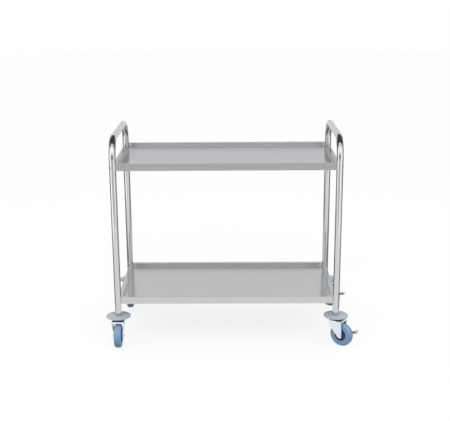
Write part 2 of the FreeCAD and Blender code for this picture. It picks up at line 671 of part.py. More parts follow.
def fork(label):
    """Pressed fork: crown with a round front, a ball track and a rear lip, and two legs that narrow to the axle."""
    body = new_body(label)
    outer = Drawing(body, f"{label}_outer", "YZ_Plane", ("0", "0", "-fork_front"))
    fork_front(outer, "0", FORK_TOP, "fork_bend")
    feature("Pad", outer, Length="fork_front + fork_rear")
    inner = Drawing(body, f"{label}_inner", "YZ_Plane", ("0", "0", "fork_rear - fork_sheet"))
    fork_front(inner, "fork_sheet", CROWN_UNDERSIDE, "(fork_bend - fork_sheet)")
    cut(inner, Length="fork_front + fork_rear")
    mouth = Drawing(body, f"{label}_mouth", "YZ_Plane", ("0", "0", "fork_rear + overrun"))
    crown = "(fork_crown_half - fork_sheet)"
    foot = AXLE_INNER
    taper_end = f"({AXLE_Z} + fork_taper_end)"
    bottom = f"({AXLE_Z} - fork_tip - 2 * overrun)"
    lip = f"({FORK_TOP} - fork_lip)"
    shoulder = f"({FORK_TOP} - fork_shoulder)"
    # The lip's lower edge lies on the taper or on the upright shoulder, whichever its height meets.
    slope = f"(({crown} - {foot}) / ({shoulder} - {taper_end}))"
    lip_half = f"min({crown}; {foot} + {slope} * ({lip} - {taper_end}))"
    right = [(foot, bottom), (foot, taper_end), (lip_half, lip)]
    mouth.outline(right + [(f"-{x}", y) for x, y in reversed(right)])
    cut(mouth, Length="fork_sheet + 2 * overrun")
    side = Drawing(body, f"{label}_side", "XZ_Plane")
    fork_side(side)
    cut(side, SideType="Symmetric", Length="2 * fork_crown_half + 2 * overrun")
    lobe = Drawing(body, f"{label}_lobe", offset=("0", "0", CROWN_UNDERSIDE))
    back = "(fork_front - fork_sheet)"
    half_back = f"sqrt(fork_lobe * fork_lobe - {back} * {back})"
    lobe.outline([(f"-{back}", half_back), (f"-{back}", f"-{half_back}")], {0: ("0", "0", "fork_lobe", "counter")})
    feature("Pad", lobe, Length="fork_sheet")
    boss =Drawing(body, f"{label}_boss", "XZ_Plane")
    half_groove = f"sqrt({GROOVE_R} * {GROOVE_R} - race_gap / 2 * race_gap / 2)"
    inner_edge = "(race_radius - race_boss_width / 2)"
    sunk = f"({CROWN_UNDERSIDE} + fork_sheet / 2)"
    corners = [
        (inner_edge, sunk),
        (BOSS_OUTER, sunk),
        (BOSS_OUTER, BOSS_TOP),
        (f"race_radius + {half_groove}", BOSS_TOP),
        (f"race_radius - {half_groove}", BOSS_TOP),
        (inner_edge, BOSS_TOP),
    ]
    boss.outline(corners, {3: ("race_radius", BALL_Z, GROOVE_R, "clockwise")})
    turned(boss)
    pivot = Drawing(body, f"{label}_pivot", offset=("0", "0", f"{FORK_TOP} + overrun"))
    pivot.circle("0", "0", "stem_dia / 2 + running_play")
    cut(pivot, Length="fork_sheet + 2 * overrun")
    axle = Drawing(body, f"{label}_axle_hole", "XZ_Plane")
    axle.circle("castor_trail", AXLE_Z, "axle_dia / 2 + axle_play")
    cut(axle, SideType="Symmetric", Length="2 * fork_axle_half + 2 * overrun")
    return body


def fork_side(drawing):
    """What the side view takes off the fork: all below the lines from its ends to the tip's circle."""
    sketch = drawing.sketch
    front, rear, tip, trail, axle = (
        value(text) for text in ("fork_front", "fork_rear", "fork_tip", "castor_trail", AXLE_Z)
    )
    front_edge = value(f"{FORK_TOP} - fork_front_drop")
    rear_edge = value(f"{FORK_TOP} - fork_rear_drop")
    below = value(f"{AXLE_Z} - fork_tip - 2 * overrun")
    beyond = value("2 * overrun")
    centre = V(trail, axle, 0)

    def touch(corner, way):
        """Where the line from an upper corner touches the tip's circle."""
        away = corner - centre
        spread = math.acos(tip / away.Length)
        angle = math.atan2(away.y, away.x) + way * spread
        return centre + V(tip * math.cos(angle), tip * math.sin(angle), 0)

    front_corner = V(-front, front_edge, 0)
    rear_corner = V(rear, rear_edge, 0)
    points = [
        V(-front - beyond, front_edge, 0),
        front_corner,
        touch(front_corner, 1),
        touch(rear_corner, -1),
        rear_corner,
        V(rear + beyond, rear_edge, 0),
        V(rear + beyond, below, 0),
        V(-front - beyond, below, 0),
    ]
    items = []
    for number, start in enumerate(points):
        end = points[(number + 1) % len(points)]
        if number == 2:
            angles = [math.atan2(p.y - axle, p.x - trail) for p in (start, end)]
            if angles[1] < angles[0]:
                angles[1] += 2 * math.pi
            shape = Part.ArcOfCircle(Part.Circle(centre, UP, tip), *angles)
        else:
            shape = Part.LineSegment(start, end)
        items.append(sketch.addGeometry(shape))
    for number, item in enumerate(items):
        after = items[(number + 1) % len(items)]
        kind = "Tangent" if number in (1, 2) else "Coincident"
        drawing.constrain(kind, item, 2, after, 1)
    drawing.measure("Radius", (items[2],), "fork_tip")
    drawing.fix(items[2], 3, "castor_trail", AXLE_Z)
    front_upper = f"({FORK_TOP} - fork_front_drop)"
    rear_upper = f"({FORK_TOP} - fork_rear_drop)"
    lower = f"({AXLE_Z} - fork_tip - 2 * overrun)"
    drawing.fix(items[0], 1, "-(fork_front + 2 * overrun)", front_upper)
    drawing.fix(items[1], 1, "-fork_front", front_upper)
    drawing.fix(items[4], 1, "fork_rear", rear_upper)
    drawing.fix(items[5], 1, "fork_rear + 2 * overrun", rear_upper)
    drawing.fix(items[6], 1, "fork_rear + 2 * overrun", lower)
    drawing.fix(items[7], 1, "-(fork_front + 2 * overrun)", lower)


def on_axle(label, corners, arcs=None):
    """A body turned about the axle from (radius, distance along the axle) corners."""
    body = new_body(label)
    profile = Drawing(body, f"{label}_profile", offset=("castor_trail", "0", AXLE_Z))
    profile.outline(corners, arcs)
    turned(profile)
    return body


def sleeve(label):
    """Steel sleeve between the fork's legs, on which the core runs."""
    half = f"({AXLE_INNER} - sleeve_gap)"
    bore = "(axle_dia / 2 + axle_play)"
    outside = "(sleeve_dia / 2)"
    return on_axle(label, [(bore, f"-{half}"), (outside, f"-{half}"), (outside, half), (bore, half)])


def core(label):
    """Moulded wheel core: hub, web and rim."""
    bore = "(sleeve_dia / 2 + running_play)"
    hub = "(core_hub_dia / 2)"
    hub_half = f"({AXLE_INNER} - hub_gap)"
    web = "(core_web / 2)"
    seat = "(tyre_seat_dia / 2 - tyre_seat_play)"
    rim = f"({seat} - core_rim)"
    rim_half = "(core_rim_width / 2)"
    upper = [
        (seat, rim_half),
        (rim, rim_half),
        (rim, f"{web} + core_fillet"),
        (f"{rim} - core_fillet", web),
        (f"{hub} + core_fillet", web),
        (hub, f"{web} + core_fillet"),
        (hub, hub_half),
        (bore, hub_half),
    ]
    lower = [(x, f"-({y})") for x, y in reversed(upper)]
    arcs = {
        2: (f"{rim} - core_fillet", f"{web} + core_fillet", "core_fillet", "clockwise"),
        4: (f"{hub} + core_fillet", f"{web} + core_fillet", "core_fillet", "clockwise"),
        10: (f"{hub} + core_fillet", f"-({web} + core_fillet)", "core_fillet", "clockwise"),
        12: (f"{rim} - core_fillet", f"-({web} + core_fillet)", "core_fillet", "clockwise"),
    }
    return on_axle(label, upper + lower, arcs)


def tyre(label):
    """Tyre with round shoulders, on the core's rim."""
    outer = "(wheel_dia / 2)"
    seat = "(tyre_seat_dia / 2)"
    half = "(tyre_width / 2)"
    foot = "(core_rim_width / 2)"
    upper = [
        (outer, f"{half} - tyre_shoulder"),
        (f"{outer} - tyre_shoulder", half),
        (f"{seat} + tyre_foot", half),
        (seat, foot),
    ]
    lower = [(x, f"-({y})") for x, y in reversed(upper)]
    arcs = {
        0: (f"{outer} - tyre_shoulder", f"{half} - tyre_shoulder", "tyre_shoulder", "counter"),
        6: (f"{outer} - tyre_shoulder", f"tyre_shoulder - {half}", "tyre_shoulder", "counter"),
    }
    return on_axle(label, upper + lower, arcs)


def axle_bolt(label, nut_seat):
    """Hex bolt through the fork, its head on the -Y leg."""
    body = new_body(label)
    head = Drawing(body, f"{label}_head", "XZ_Plane", ("0", "0", "fork_axle_half"))
    head.hexagon("castor_trail", AXLE_Z, "axle_flats")
    feature("Pad", head, Length="axle_head")
    end = f"({nut_seat} + axle_nut + axle_tail)"
    shank = Drawing(body, f"{label}_shank", "XZ_Plane", ("0", "0", f"-{end}"))
    shank.circle("castor_trail", AXLE_Z, "axle_dia / 2")
    feature("Pad", shank, Length=f"{end} + fork_axle_half + axle_head / 2")
    return body


def axle_nut(label, nut_seat):
    """Hex nut on the +Y end of the axle bolt."""
    body = new_body(label)
    ring = Drawing(body, f"{label}_hex", "XZ_Plane", ("0", "0", f"-({nut_seat} + axle_nut)"))
    ring.hexagon("castor_trail", AXLE_Z, "axle_flats")
    ring.circle("castor_trail", AXLE_Z, "axle_dia / 2 + thread_play")
    feature("Pad", ring, Length="axle_nut")
    return body


def brake_cam(label):
    """Ring on the fork's leg that the brake lever works against."""
    body = new_body(label)
    ring = Drawing(body, f"{label}_ring", "XZ_Plane", ("0", "0", "-(fork_axle_half + cam_height)"))
    ring.circle("castor_trail", AXLE_Z, "cam_dia / 2")
    ring.circle("castor_trail", AXLE_Z, "axle_dia / 2 + axle_play")
    feature("Pad", ring, Length="cam_height")
    return body


def brake_lever(label):
    """Pressed lever that turns on the axle bolt, with a foot plate bent out at its end."""
    body = new_body(label)
    eye = "(lever_eye / 2)"
    arm = "(lever_arm / 2)"
    neck = f"sqrt({eye} * {eye} - {arm} * {arm})"
    lean = FreeCAD.Rotation(UP, value("lever_rise"))
    arm_place = ("castor_trail", AXLE_Z, f"-({LEVER_SEAT} + lever_sheet)")
    blank = Drawing(body, f"{label}_arm", "XZ_Plane", arm_place, lean)
    blank.sketch.setExpression("AttachmentOffset.Rotation.Angle", formula("lever_rise"))
    corners = [(neck, arm), (neck, f"-{arm}"), ("lever_reach", f"-{arm}"), ("lever_reach", arm)]
    blank.outline(corners, {0: ("0", "0", eye, "counter")})
    blank.circle("0", "0", "axle_dia / 2 + running_play")
    feature("Pad", blank, Length="lever_sheet")
    foot_place = ("castor_trail", AXLE_Z, f"-({LEVER_SEAT} + lever_foot_width)")
    foot = Drawing(body, f"{label}_foot", "XZ_Plane", foot_place, lean)
    foot.sketch.setExpression("AttachmentOffset.Rotation.Angle", formula("lever_rise"))
    start = "(lever_reach - lever_foot_length)"
    low = f"({arm} - lever_sheet)"
    foot.outline([(start, low), ("lever_reach", low), ("lever_reach", arm), (start, arm)])
    feature("Pad", foot, Length="lever_foot_width")
    outer = value(f"{LEVER_SEAT} + lever_foot_width")
    thickness = value("lever_sheet")
    round_edges(
        body,
        "lever_foot_corner",
        lambda edge: abs(edge.BoundBox.YMin - outer) < SAME and abs(edge.Length - thickness) < SAME,
    )
    return body


def castor(side, end):
    """All pieces of one castor, placed under its leg and turned to its heading."""
    tag = f"{end}_{side}"
    braked = side == "right"
    nut_seat = BRAKED_NUT_SEAT if braked else "fork_axle_half"
    pieces = [
        bumper(f"bumper_{tag}"),
        stem(f"stem_{tag}"),
        upper_race(f"upper_race_{tag}"),
        ball_ring(f"balls_{tag}"),
        fork(f"fork_{tag}"),
        sleeve(f"axle_sleeve_{tag}"),
        axle_bolt(f"axle_bolt_{tag}", nut_seat),
        axle_nut(f"axle_nut_{tag}", nut_seat),
        core(f"wheel_core_{tag}"),
        tyre(f"tyre_{tag}"),
    ]
    if braked:
        pieces.append(brake_cam(f"brake_cam_{tag}"))
        pieces.append(brake_lever(f"brake_lever_{tag}"))
    hidden = [plug(f"plug_{tag}"), stem_nut(f"stem_nut_{tag}")]
    for piece in pieces + hidden:
        place(piece, f"{SIDES[side]} * {LEG_X}", f"{ENDS[end]} * {LEG_Y}", "0", f"{side}_heading")
    return hidden


for side in SIDES:
    end_frame(side)
for label, height in TRAYS.items():
    tray(label, height)
    stiffener(label, height)
tray_fasteners()
hidden_pairs = [castor(side, end) for side in SIDES for end in ENDS]
gather("leg_plugs", [pair[0] for pair in hidden_pairs])
gather("stem_nuts", [pair[1] for pair in hidden_pairs])
doc.recompute()

for thing in doc.Objects:
    if set(thing.State) & {"Invalid", "Error"}:
        raise RuntimeError(f"{thing.Label} did not build: {thing.State}")
for node in nodes:
    if node.Shape.isNull() or not node.Shape.isValid() or not node.Shape.Solids:
        raise RuntimeError(f"{node.Label} has no valid shape")

os.makedirs("parts", exist_ok=True)
for node in nodes:
    node.Shape.exportStep(os.path.join("parts", node.Label + ".step"))
    box = node.Shape.BoundBox
    print(f"{node.Label}: {len(node.Shape.Solids)} solids, {node.Shape.Volume / 1000:.1f} cm3, top {box.ZMax:.1f}")
print(len(nodes), "nodes")
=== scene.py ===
# Looks of the serving trolley: polished stainless tube, satin stainless trays, grey-blue castors.
# Metres, in the frame's axes: X along the trolley, -Y towards the user, Z up from the floor.
import json
import math

import bmesh
import bpy
from mathutils import Matrix, Vector


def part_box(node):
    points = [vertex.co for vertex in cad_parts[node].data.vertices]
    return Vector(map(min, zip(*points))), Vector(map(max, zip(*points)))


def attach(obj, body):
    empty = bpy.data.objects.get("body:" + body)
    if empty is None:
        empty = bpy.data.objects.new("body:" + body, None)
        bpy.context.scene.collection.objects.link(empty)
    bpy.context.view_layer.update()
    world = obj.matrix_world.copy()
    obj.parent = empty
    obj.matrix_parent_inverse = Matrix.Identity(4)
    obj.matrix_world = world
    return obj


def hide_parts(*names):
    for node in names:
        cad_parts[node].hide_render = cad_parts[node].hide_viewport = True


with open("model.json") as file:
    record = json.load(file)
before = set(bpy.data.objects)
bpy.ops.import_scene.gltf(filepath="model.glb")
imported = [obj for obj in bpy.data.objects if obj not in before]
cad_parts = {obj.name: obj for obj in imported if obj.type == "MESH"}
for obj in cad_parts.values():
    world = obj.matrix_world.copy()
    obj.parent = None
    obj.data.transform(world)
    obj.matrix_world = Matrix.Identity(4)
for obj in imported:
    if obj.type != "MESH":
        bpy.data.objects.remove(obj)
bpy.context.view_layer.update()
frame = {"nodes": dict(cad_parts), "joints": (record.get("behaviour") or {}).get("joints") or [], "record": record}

MM = 0.001
UP = Vector((0, 0, 1))
ALONG = Vector((1, 0, 0))
SIDES = {"left": -1, "right": 1}
ENDS = {"front": -1, "rear": 1}
TAGS = [f"{end}_{side}" for side in SIDES for end in ENDS]
JOINTS = {joint["name"]: joint for joint in frame["joints"]}
scene = bpy.context.scene
scene.view_settings.view_transform = "Standard"


# Camera, from the photograph's own perspective

PICTURE_WIDTH = 450
FOCAL_PIXELS = 879.2
SENSOR_WIDTH = 36.0
CAMERA_AT = Vector((0.0299, -3.7150, 1.5449))
CAMERA_YAW = -0.0102
CAMERA_PITCH = 0.2674
CAMERA_ROLL = 0.0068
FARTHEST_SEEN = 100


def make_camera():
    """A camera at its place in the photograph, turned about Z, tipped down and rolled by small angles."""
    forward = Vector((
        math.sin(CAMERA_YAW) * math.cos(CAMERA_PITCH),
        math.cos(CAMERA_YAW) * math.cos(CAMERA_PITCH),
        -math.sin(CAMERA_PITCH),
    ))
    level = Vector((math.cos(CAMERA_YAW), -math.sin(CAMERA_YAW), 0))
    down = level.cross(forward) * -1
    right = math.cos(CAMERA_ROLL) * level + math.sin(CAMERA_ROLL) * down
    down = forward.cross(right)
    data = bpy.data.cameras.new("photo_camera")
    data.sensor_fit = "HORIZONTAL"
    data.sensor_width = SENSOR_WIDTH
    data.lens = SENSOR_WIDTH * FOCAL_PIXELS / PICTURE_WIDTH
    data.clip_end = FARTHEST_SEEN
    camera = bpy.data.objects.new("photo_camera", data)
    scene.collection.objects.link(camera)
    turn = Matrix((right, -down, -forward)).transposed()
    camera.matrix_world = Matrix.Translation(CAMERA_AT) @ turn.to_4x4()
    scene.camera = camera


# Nodes and colours

def linear(code):
    """An sRGB hex colour as linear RGBA."""
    parts = [int(code[i:i + 2], 16) / 255 for i in (1, 3, 5)]
    return [c / 12.92 if c <= 0.04045 else ((c + 0.055) / 1.055) ** 2.4 for c in parts] + [1.0]


def add(tree, kind, inputs=None, **settings):
    """A node with its settings; an input is a value or another node's output."""
    node = tree.nodes.new(kind)
    for name, setting in settings.items():
        setattr(node, name, setting)
    for name, given in (inputs or {}).items():
        if isinstance(given, bpy.types.NodeSocket):
            tree.links.new(given, node.inputs[name])
        else:
            node.inputs[name].default_value = given
    return node


def new_material(name):
    """An empty material and its node tree."""
    material = bpy.data.materials.new(name)
    material.use_nodes = True
    material.node_tree.nodes.clear()
    return material, material.node_tree


def grain_space(tree, *sizes):
    """The piece's coordinates in grains of a size in millimetres, the same or one each for X, Y and Z."""
    place = add(tree, "ShaderNodeTexCoord")
    if len(sizes) == 1:
        sizes = 3 * sizes
    scale = [1 / (size * MM) for size in sizes]
    return add(tree, "ShaderNodeMapping", {"Vector": place.outputs["Object"], "Scale": scale}).outputs[0]


def spread(tree, pattern, low, high):
    """A pattern from 0 to 1 stretched to run from low to high."""
    return add(tree, "ShaderNodeMapRange", {"Value": pattern, "To Min": low, "To Max": high}).outputs[0]


def two_tone(tree, pattern, first, second):
    """A colour that wanders between two with a pattern."""
    tones = {0: pattern, 6: linear(first), 7: linear(second)}
    return add(tree, "ShaderNodeMix", tones, data_type="RGBA").outputs[2]


def relief(tree, pattern, height, under=None):
    """A bump of a height in millimetres, on top of another."""
    inputs = {"Height": pattern, "Distance": height * MM, "Strength": 1.0}
    if under is not None:
        inputs["Normal"] = under
    return add(tree, "ShaderNodeBump", inputs).outputs[0]


def surface(tree, **inputs):
    """The finish itself, as the material's output."""
    given = {name.replace("_", " "): value for name, value in inputs.items()}
    shader = add(tree, "ShaderNodeBsdfPrincipled", given)
    add(tree, "ShaderNodeOutputMaterial", {"Surface": shader.outputs[0]})


# Finishes; sizes of patterns are real millimetres

RING_MAP = "round_and_along"
WEAR = "tread_wear"


def polished_stainless_tube():
    """Stainless tube polished with a belt: near mirror, with faint rings left round it by the belt."""
    material, tree = new_material("polished_stainless_tube")
    along = add(tree, "ShaderNodeUVMap", uv_map=RING_MAP)
    # The belt's rings are 0.05 mm apart; drawn eight times coarser, so that they show.
    ring_pitch = 8 * 0.05 * MM
    ring_length = 30 * MM
    ring_scale = (1 / ring_length, 1 / ring_pitch, 1)
    rings_at = add(tree, "ShaderNodeMapping", {0: along.outputs[0], "Scale": ring_scale})
    rings = add(tree, "ShaderNodeTexNoise", {"Vector": rings_at.outputs[0], "Detail": 3.0}).outputs[0]
    # Wiping leaves smudges a hand's breadth long.
    hands = grain_space(tree, 45, 45, 70)
    smudge = add(tree, "ShaderNodeTexNoise", {"Vector": hands, "Detail": 3.0}).outputs[0]
    surface(
        tree,
        Base_Color=two_tone(tree, smudge, "#C6C7C8", "#D0D0D0"),
        Metallic=1.0,
        Roughness=spread(tree, smudge, 0.06, 0.15),
        Normal=relief(tree, rings, 0.003),
    )
    return material


def satin_stainless_sheet():
    """Pressed stainless sheet with a fine grain along its length: soft reflections, slightly wavy floor."""
    material, tree = new_material("satin_stainless_sheet")
    place = add(tree, "ShaderNodeTexCoord")
    spot = add(tree, "ShaderNodeSeparateXYZ", {0: place.outputs["Object"]}).outputs
    facing_x = add(tree, "ShaderNodeSeparateXYZ", {0: place.outputs["Normal"]}).outputs["X"]
    end_face = add(tree, "ShaderNodeMath", {0: facing_x}, operation="ABSOLUTE").outputs[0]
    # The grain turns down with the sheet: upright on the end faces, level on the long ones.
    level = add(tree, "ShaderNodeMath", {0: end_face, 1: 0.7}, operation="LESS_THAN").outputs[0]
    down_side = add(tree, "ShaderNodeMath", {0: spot["Z"], 1: level}, operation="MULTIPLY").outputs[0]
    across = add(tree, "ShaderNodeMath", {0: spot["Y"], 1: down_side}, operation="ADD").outputs[0]
    flat = add(tree, "ShaderNodeCombineXYZ", {"X": spot["X"], "Y": across}).outputs[0]
    # The grain's lines are 0.1 mm apart; drawn eight times coarser, so that they show.
    grain_pitch = 8 * 0.1 * MM
    grain_length = 70 * MM
    grain_scale = (1 / grain_length, 1 / grain_pitch, 1)
    grain_at = add(tree, "ShaderNodeMapping", {0: flat, "Scale": grain_scale}).outputs[0]
    grain = add(tree, "ShaderNodeTexNoise", {"Vector": grain_at, "Detail": 4.0}).outputs[0]
    # Pressing leaves the sheet in waves about a quarter of its length, and wiping leaves smudges.
    sheet_waves = grain_space(tree, 260, 190, 190)
    waves = add(tree, "ShaderNodeTexNoise", {"Vector": sheet_waves, "Detail": 1.0}).outputs[0]
    hands = grain_space(tree, 80, 60, 60)
    smudge = add(tree, "ShaderNodeTexNoise", {"Vector": hands, "Detail": 3.0}).outputs[0]
    # A reflection is drawn out across the grain and stays sharp along it.
    grain_way = add(tree, "ShaderNodeCombineXYZ", {"X": 1.0, "Z": 0.05}).outputs[0]
    surface(
        tree,
        Base_Color=two_tone(tree, grain, "#C0C1C4", "#D4D5D7"),
        Metallic=1.0,
        Roughness=spread(tree, smudge, 0.19, 0.26),
        Anisotropic=0.85,
        Anisotropic_Rotation=0.25,
        Tangent=grain_way,
        Normal=relief(tree, grain, 0.009, relief(tree, waves, 0.13)),
    )
    return material


def plain_stainless():
    """Turned stainless of bolts, washers and nuts: a dull shine with a fine tooled grain."""
    material, tree = new_material("plain_stainless")
    grain = add(tree, "ShaderNodeTexNoise", {"Vector": grain_space(tree, 0.8), "Detail": 3.0}).outputs[0]
    surface(
        tree,
        Base_Color=two_tone(tree, grain, "#B2B3B5", "#C4C5C6"),
        Metallic=1.0,
        Roughness=spread(tree, grain, 0.22, 0.36),
        Normal=relief(tree, grain, 0.01),
    )
    return material


def bright_zinc():
    """Bright zinc plate on pressed steel: bluish white, faintly mottled, softer than chrome."""
    material, tree = new_material("bright_zinc")
    mottle = add(tree, "ShaderNodeTexNoise", {"Vector": grain_space(tree, 9), "Detail": 4.0}).outputs[0]
    fine = add(tree, "ShaderNodeTexNoise", {"Vector": grain_space(tree, 0.7), "Detail": 2.0}).outputs[0]
    surface(
        tree,
        Base_Color=two_tone(tree, mottle, "#D8DDE9", "#ECF0F7"),
        Metallic=1.0,
        Roughness=spread(tree, mottle, 0.34, 0.46),
        Normal=relief(tree, fine, 0.012),
    )
    return material


def tyre_rubber():
    """Grey-blue thermoplastic rubber, moulded: a soft sheen with a faint skin, dusty where it rolls."""
    material, tree = new_material("grey_blue_tyre_rubber")
    cloud = add(tree, "ShaderNodeTexNoise", {"Vector": grain_space(tree, 14), "Detail": 4.0}).outputs[0]
    skin = add(tree, "ShaderNodeTexNoise", {"Vector": grain_space(tree, 0.6), "Detail": 2.0}).outputs[0]
    moulded = two_tone(tree, cloud, "#8AB7E2", "#9EC7ED")
    # The tread is dusty and dulled in patches a few millimetres across.
    tread = add(tree, "ShaderNodeAttribute", attribute_name=WEAR).outputs["Fac"]
    patches = add(tree, "ShaderNodeTexNoise", {"Vector": grain_space(tree, 5), "Detail": 5.0}).outputs[0]
    thin_dust = spread(tree, patches, 0.0, 0.5)
    dusty = add(tree, "ShaderNodeMath", {0: tread, 1: thin_dust}, operation="MULTIPLY").outputs[0]
    tones = {0: dusty, 6: moulded, 7: linear("#8A97A6")}
    surface(
        tree,
        Base_Color=add(tree, "ShaderNodeMix", tones, data_type="RGBA").outputs[2],
        Roughness=spread(tree, cloud, 0.42, 0.6),
        IOR=1.5,
        Normal=relief(tree, skin, 0.02),
    )
    return material


def core_polypropylene():
    """Moulded polypropylene wheel core, dark grey-blue, half matt."""
    material, tree = new_material("core_polypropylene")
    cloud = add(tree, "ShaderNodeTexNoise", {"Vector": grain_space(tree, 10), "Detail": 3.0}).outputs[0]
    skin = add(tree, "ShaderNodeTexNoise", {"Vector": grain_space(tree, 0.5), "Detail": 2.0}).outputs[0]
    surface(
        tree,
        Base_Color=two_tone(tree, cloud, "#4B5A76", "#5A6A8C"),
        Roughness=spread(tree, cloud, 0.38, 0.5),
        IOR=1.49,
        Normal=relief(tree, skin, 0.015),
    )
    return material


def bumper_vinyl():
    """Soft grey-blue vinyl of the bumper discs, matt with a moulded skin."""
    material, tree = new_material("bumper_vinyl")
    cloud = add(tree, "ShaderNodeTexNoise", {"Vector": grain_space(tree, 18), "Detail": 3.0}).outputs[0]
    skin = add(tree, "ShaderNodeTexNoise", {"Vector": grain_space(tree, 0.6), "Detail": 2.0}).outputs[0]
    surface(
        tree,
        Base_Color=two_tone(tree, cloud, "#C0CDDC", "#CCD7E5"),
        Roughness=spread(tree, cloud, 0.45, 0.6),
        IOR=1.53,
        Normal=relief(tree, skin, 0.02),
    )
    return material


def dark_nylon():
    """Glass-filled nylon of the upper races and the plugs: near black, half matt."""
    material, tree = new_material("dark_nylon")
    skin = add(tree, "ShaderNodeTexNoise", {"Vector": grain_space(tree, 0.7), "Detail": 3.0}).outputs[0]
    surface(
        tree,
        Base_Color=two_tone(tree, skin, "#262B38", "#343B4B"),
        Roughness=spread(tree, skin, 0.35, 0.5),
        IOR=1.53,
        Normal=relief(tree, skin, 0.02),
    )
    return material


FINISHES = {
    "polished_tube": polished_stainless_tube(),
    "tray_sheet": satin_stainless_sheet(),
    "bolt_steel": plain_stainless(),
    "zinc_steel": bright_zinc(),
    "black_plastic": dark_nylon(),
    "bumper_rubber": bumper_vinyl(),
    "core_plastic": core_polypropylene(),
    "tyre_rubber": tyre_rubber(),
}


def finish_frame():
    """Each carried-over solid takes the finish of its slot."""
    for part in frame["record"]["subparts"]:
        for place in frame["nodes"][part["node"]].material_slots:
            place.material = FINISHES[part["material_slot"]]


# Meshes; angles are in degrees, and an edge sharper than a piece's own angle stays crisp

FASTENER_SHARP = 30
TYRE_SHARP = 40
TUBE_SHARP = 60


def closed_piece(name, points, faces, body, slot, nodes=(), sharp=FASTENER_SHARP):
    """A piece of the trolley from its points and faces, in the finish of a slot, standing for CAD nodes."""
    mesh = bpy.data.meshes.new(name)
    mesh.from_pydata([tuple(p) for p in points], [], faces)
    shape = bmesh.new()
    shape.from_mesh(mesh)
    bmesh.ops.recalc_face_normals(shape, faces=shape.faces)
    shape.to_mesh(mesh)
    shape.free()
    mesh.shade_smooth()
    mesh.set_sharp_from_angle(angle=math.radians(sharp))
    mesh.materials.append(FINISHES[slot])
    piece = bpy.data.objects.new(name, mesh)
    scene.collection.objects.link(piece)
    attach(piece, body)
    if nodes:
        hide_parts(*nodes)
    return piece


def arc(centre, radius, start, end, steps):
    """Points of an arc in a profile, from one angle to another."""
    turns = [math.radians(start + (end - start) * i / steps) for i in range(steps + 1)]
    return [(centre[0] + radius * math.cos(t), centre[1] + radius * math.sin(t)) for t in turns]


def ring_faces(rings, steps, closed):
    """Faces between rings of points; closed joins the last ring to the first."""
    faces = []
    for ring in range(rings if closed else rings - 1):
        here = ring * steps
        after = (ring + 1) % rings * steps
        for step in range(steps):
            beside = (step + 1) % steps
            faces.append((here + step, here + beside, after + beside, after + step))
    return faces


def from_rings(rings, place, closed):
    """Points and faces from rings of (radius, height), each step round the Z axis of a place."""
    points = []
    for ring in rings:
        for step, (radius, height) in enumerate(ring):
            turn = 2 * math.pi * step / len(ring)
            points.append(place @ Vector((radius * math.cos(turn), radius * math.sin(turn), height)))
    return points, ring_faces(len(rings), len(rings[0]), closed)


def spun(profile, place, steps):
    """Points and faces of a closed (radius, height) profile turned about the Z axis of a place."""
    return from_rings([[corner] * steps for corner in profile], place, True)


def along_joint(tag, kind):
    """The joint's place, with Z along its axis and X straight up from it."""
    joint = JOINTS[f"{kind}_{tag}"]
    axis = Vector(joint["axis"]).normalized()
    turn = Matrix((UP, axis.cross(UP), axis)).transposed()
    return Matrix.Translation(joint["pos_m"]) @ turn.to_4x4()


# End frames

TUBE_STEPS = 48
BEND_STEPS = 28
TUBE_WALL = 1.2 * MM
HANDLE_BEND = 80 * MM


def tube_line(side):
    """Centre line of an end frame, as (point, direction) pairs from foot to foot, and its radius."""
    low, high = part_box(f"{side}_end_frame")
    radius = (high.x - low.x) / 2
    middle = (high.x + low.x) / 2
    top = high.z - radius
    reach = (high.y - low.y) / 2 - radius
    flank = reach - HANDLE_BEND
    shoulder = top - HANDLE_BEND
    line = [(Vector((middle, -reach, low.z)), UP)]
    for step in range(BEND_STEPS + 1):
        turn = math.pi / 2 * step / BEND_STEPS
        out = HANDLE_BEND * math.cos(turn)
        rise = HANDLE_BEND * math.sin(turn)
        way = Vector((0, math.sin(turn), math.cos(turn)))
        line.append((Vector((middle, -flank - out, shoulder + rise)), way))
    mirrored = [(Vector((p.x, -p.y, p.z)), Vector((0, d.y, -d.z))) for p, d in reversed(line)]
    return line + mirrored, radius


def map_rings(piece, line, radius):
    """A map of the tube in metres: round it in X, along it in Y, the same for its bore."""
    distance = [0.0]
    for (before, _), (after, _) in zip(line, line[1:]):
        distance.append(distance[-1] + (after - before).length)
    lengths = distance + distance[::-1]
    layer = piece.data.uv_layers.new(name=RING_MAP)
    for face in piece.data.polygons:
        around = [piece.data.loops[i].vertex_index % TUBE_STEPS for i in face.loop_indices]
        wraps = max(around) - min(around) > 1
        for index, place in zip(face.loop_indices, around):
            ring = piece.data.loops[index].vertex_index // TUBE_STEPS
            step = TUBE_STEPS if wraps and place == 0 else place
            layer.data[index].uv = (2 * math.pi * radius * step / TUBE_STEPS, lengths[ring])


def make_end_frame(side):
    """One polished tube, open at its feet: its outside from foot to foot, then its bore back again."""
    line, radius = tube_line(side)
    points = []
    for size, way_round in ((radius, line), (radius - TUBE_WALL, line[::-1])):
        for spot, way in way_round:
            out = way.cross(ALONG)
            for step in range(TUBE_STEPS):
                turn = 2 * math.pi * step / TUBE_STEPS
                points.append(spot + size * (math.cos(turn) * ALONG + math.sin(turn) * out))
    faces = ring_faces(2 * len(line), TUBE_STEPS, True)
    name = f"{side}_polished_tube"
    nodes = [f"{side}_end_frame"]
    piece = closed_piece(name, points, faces, "frame", "polished_tube", nodes, TUBE_SHARP)
    map_rings(piece, line, radius)


# Wheels

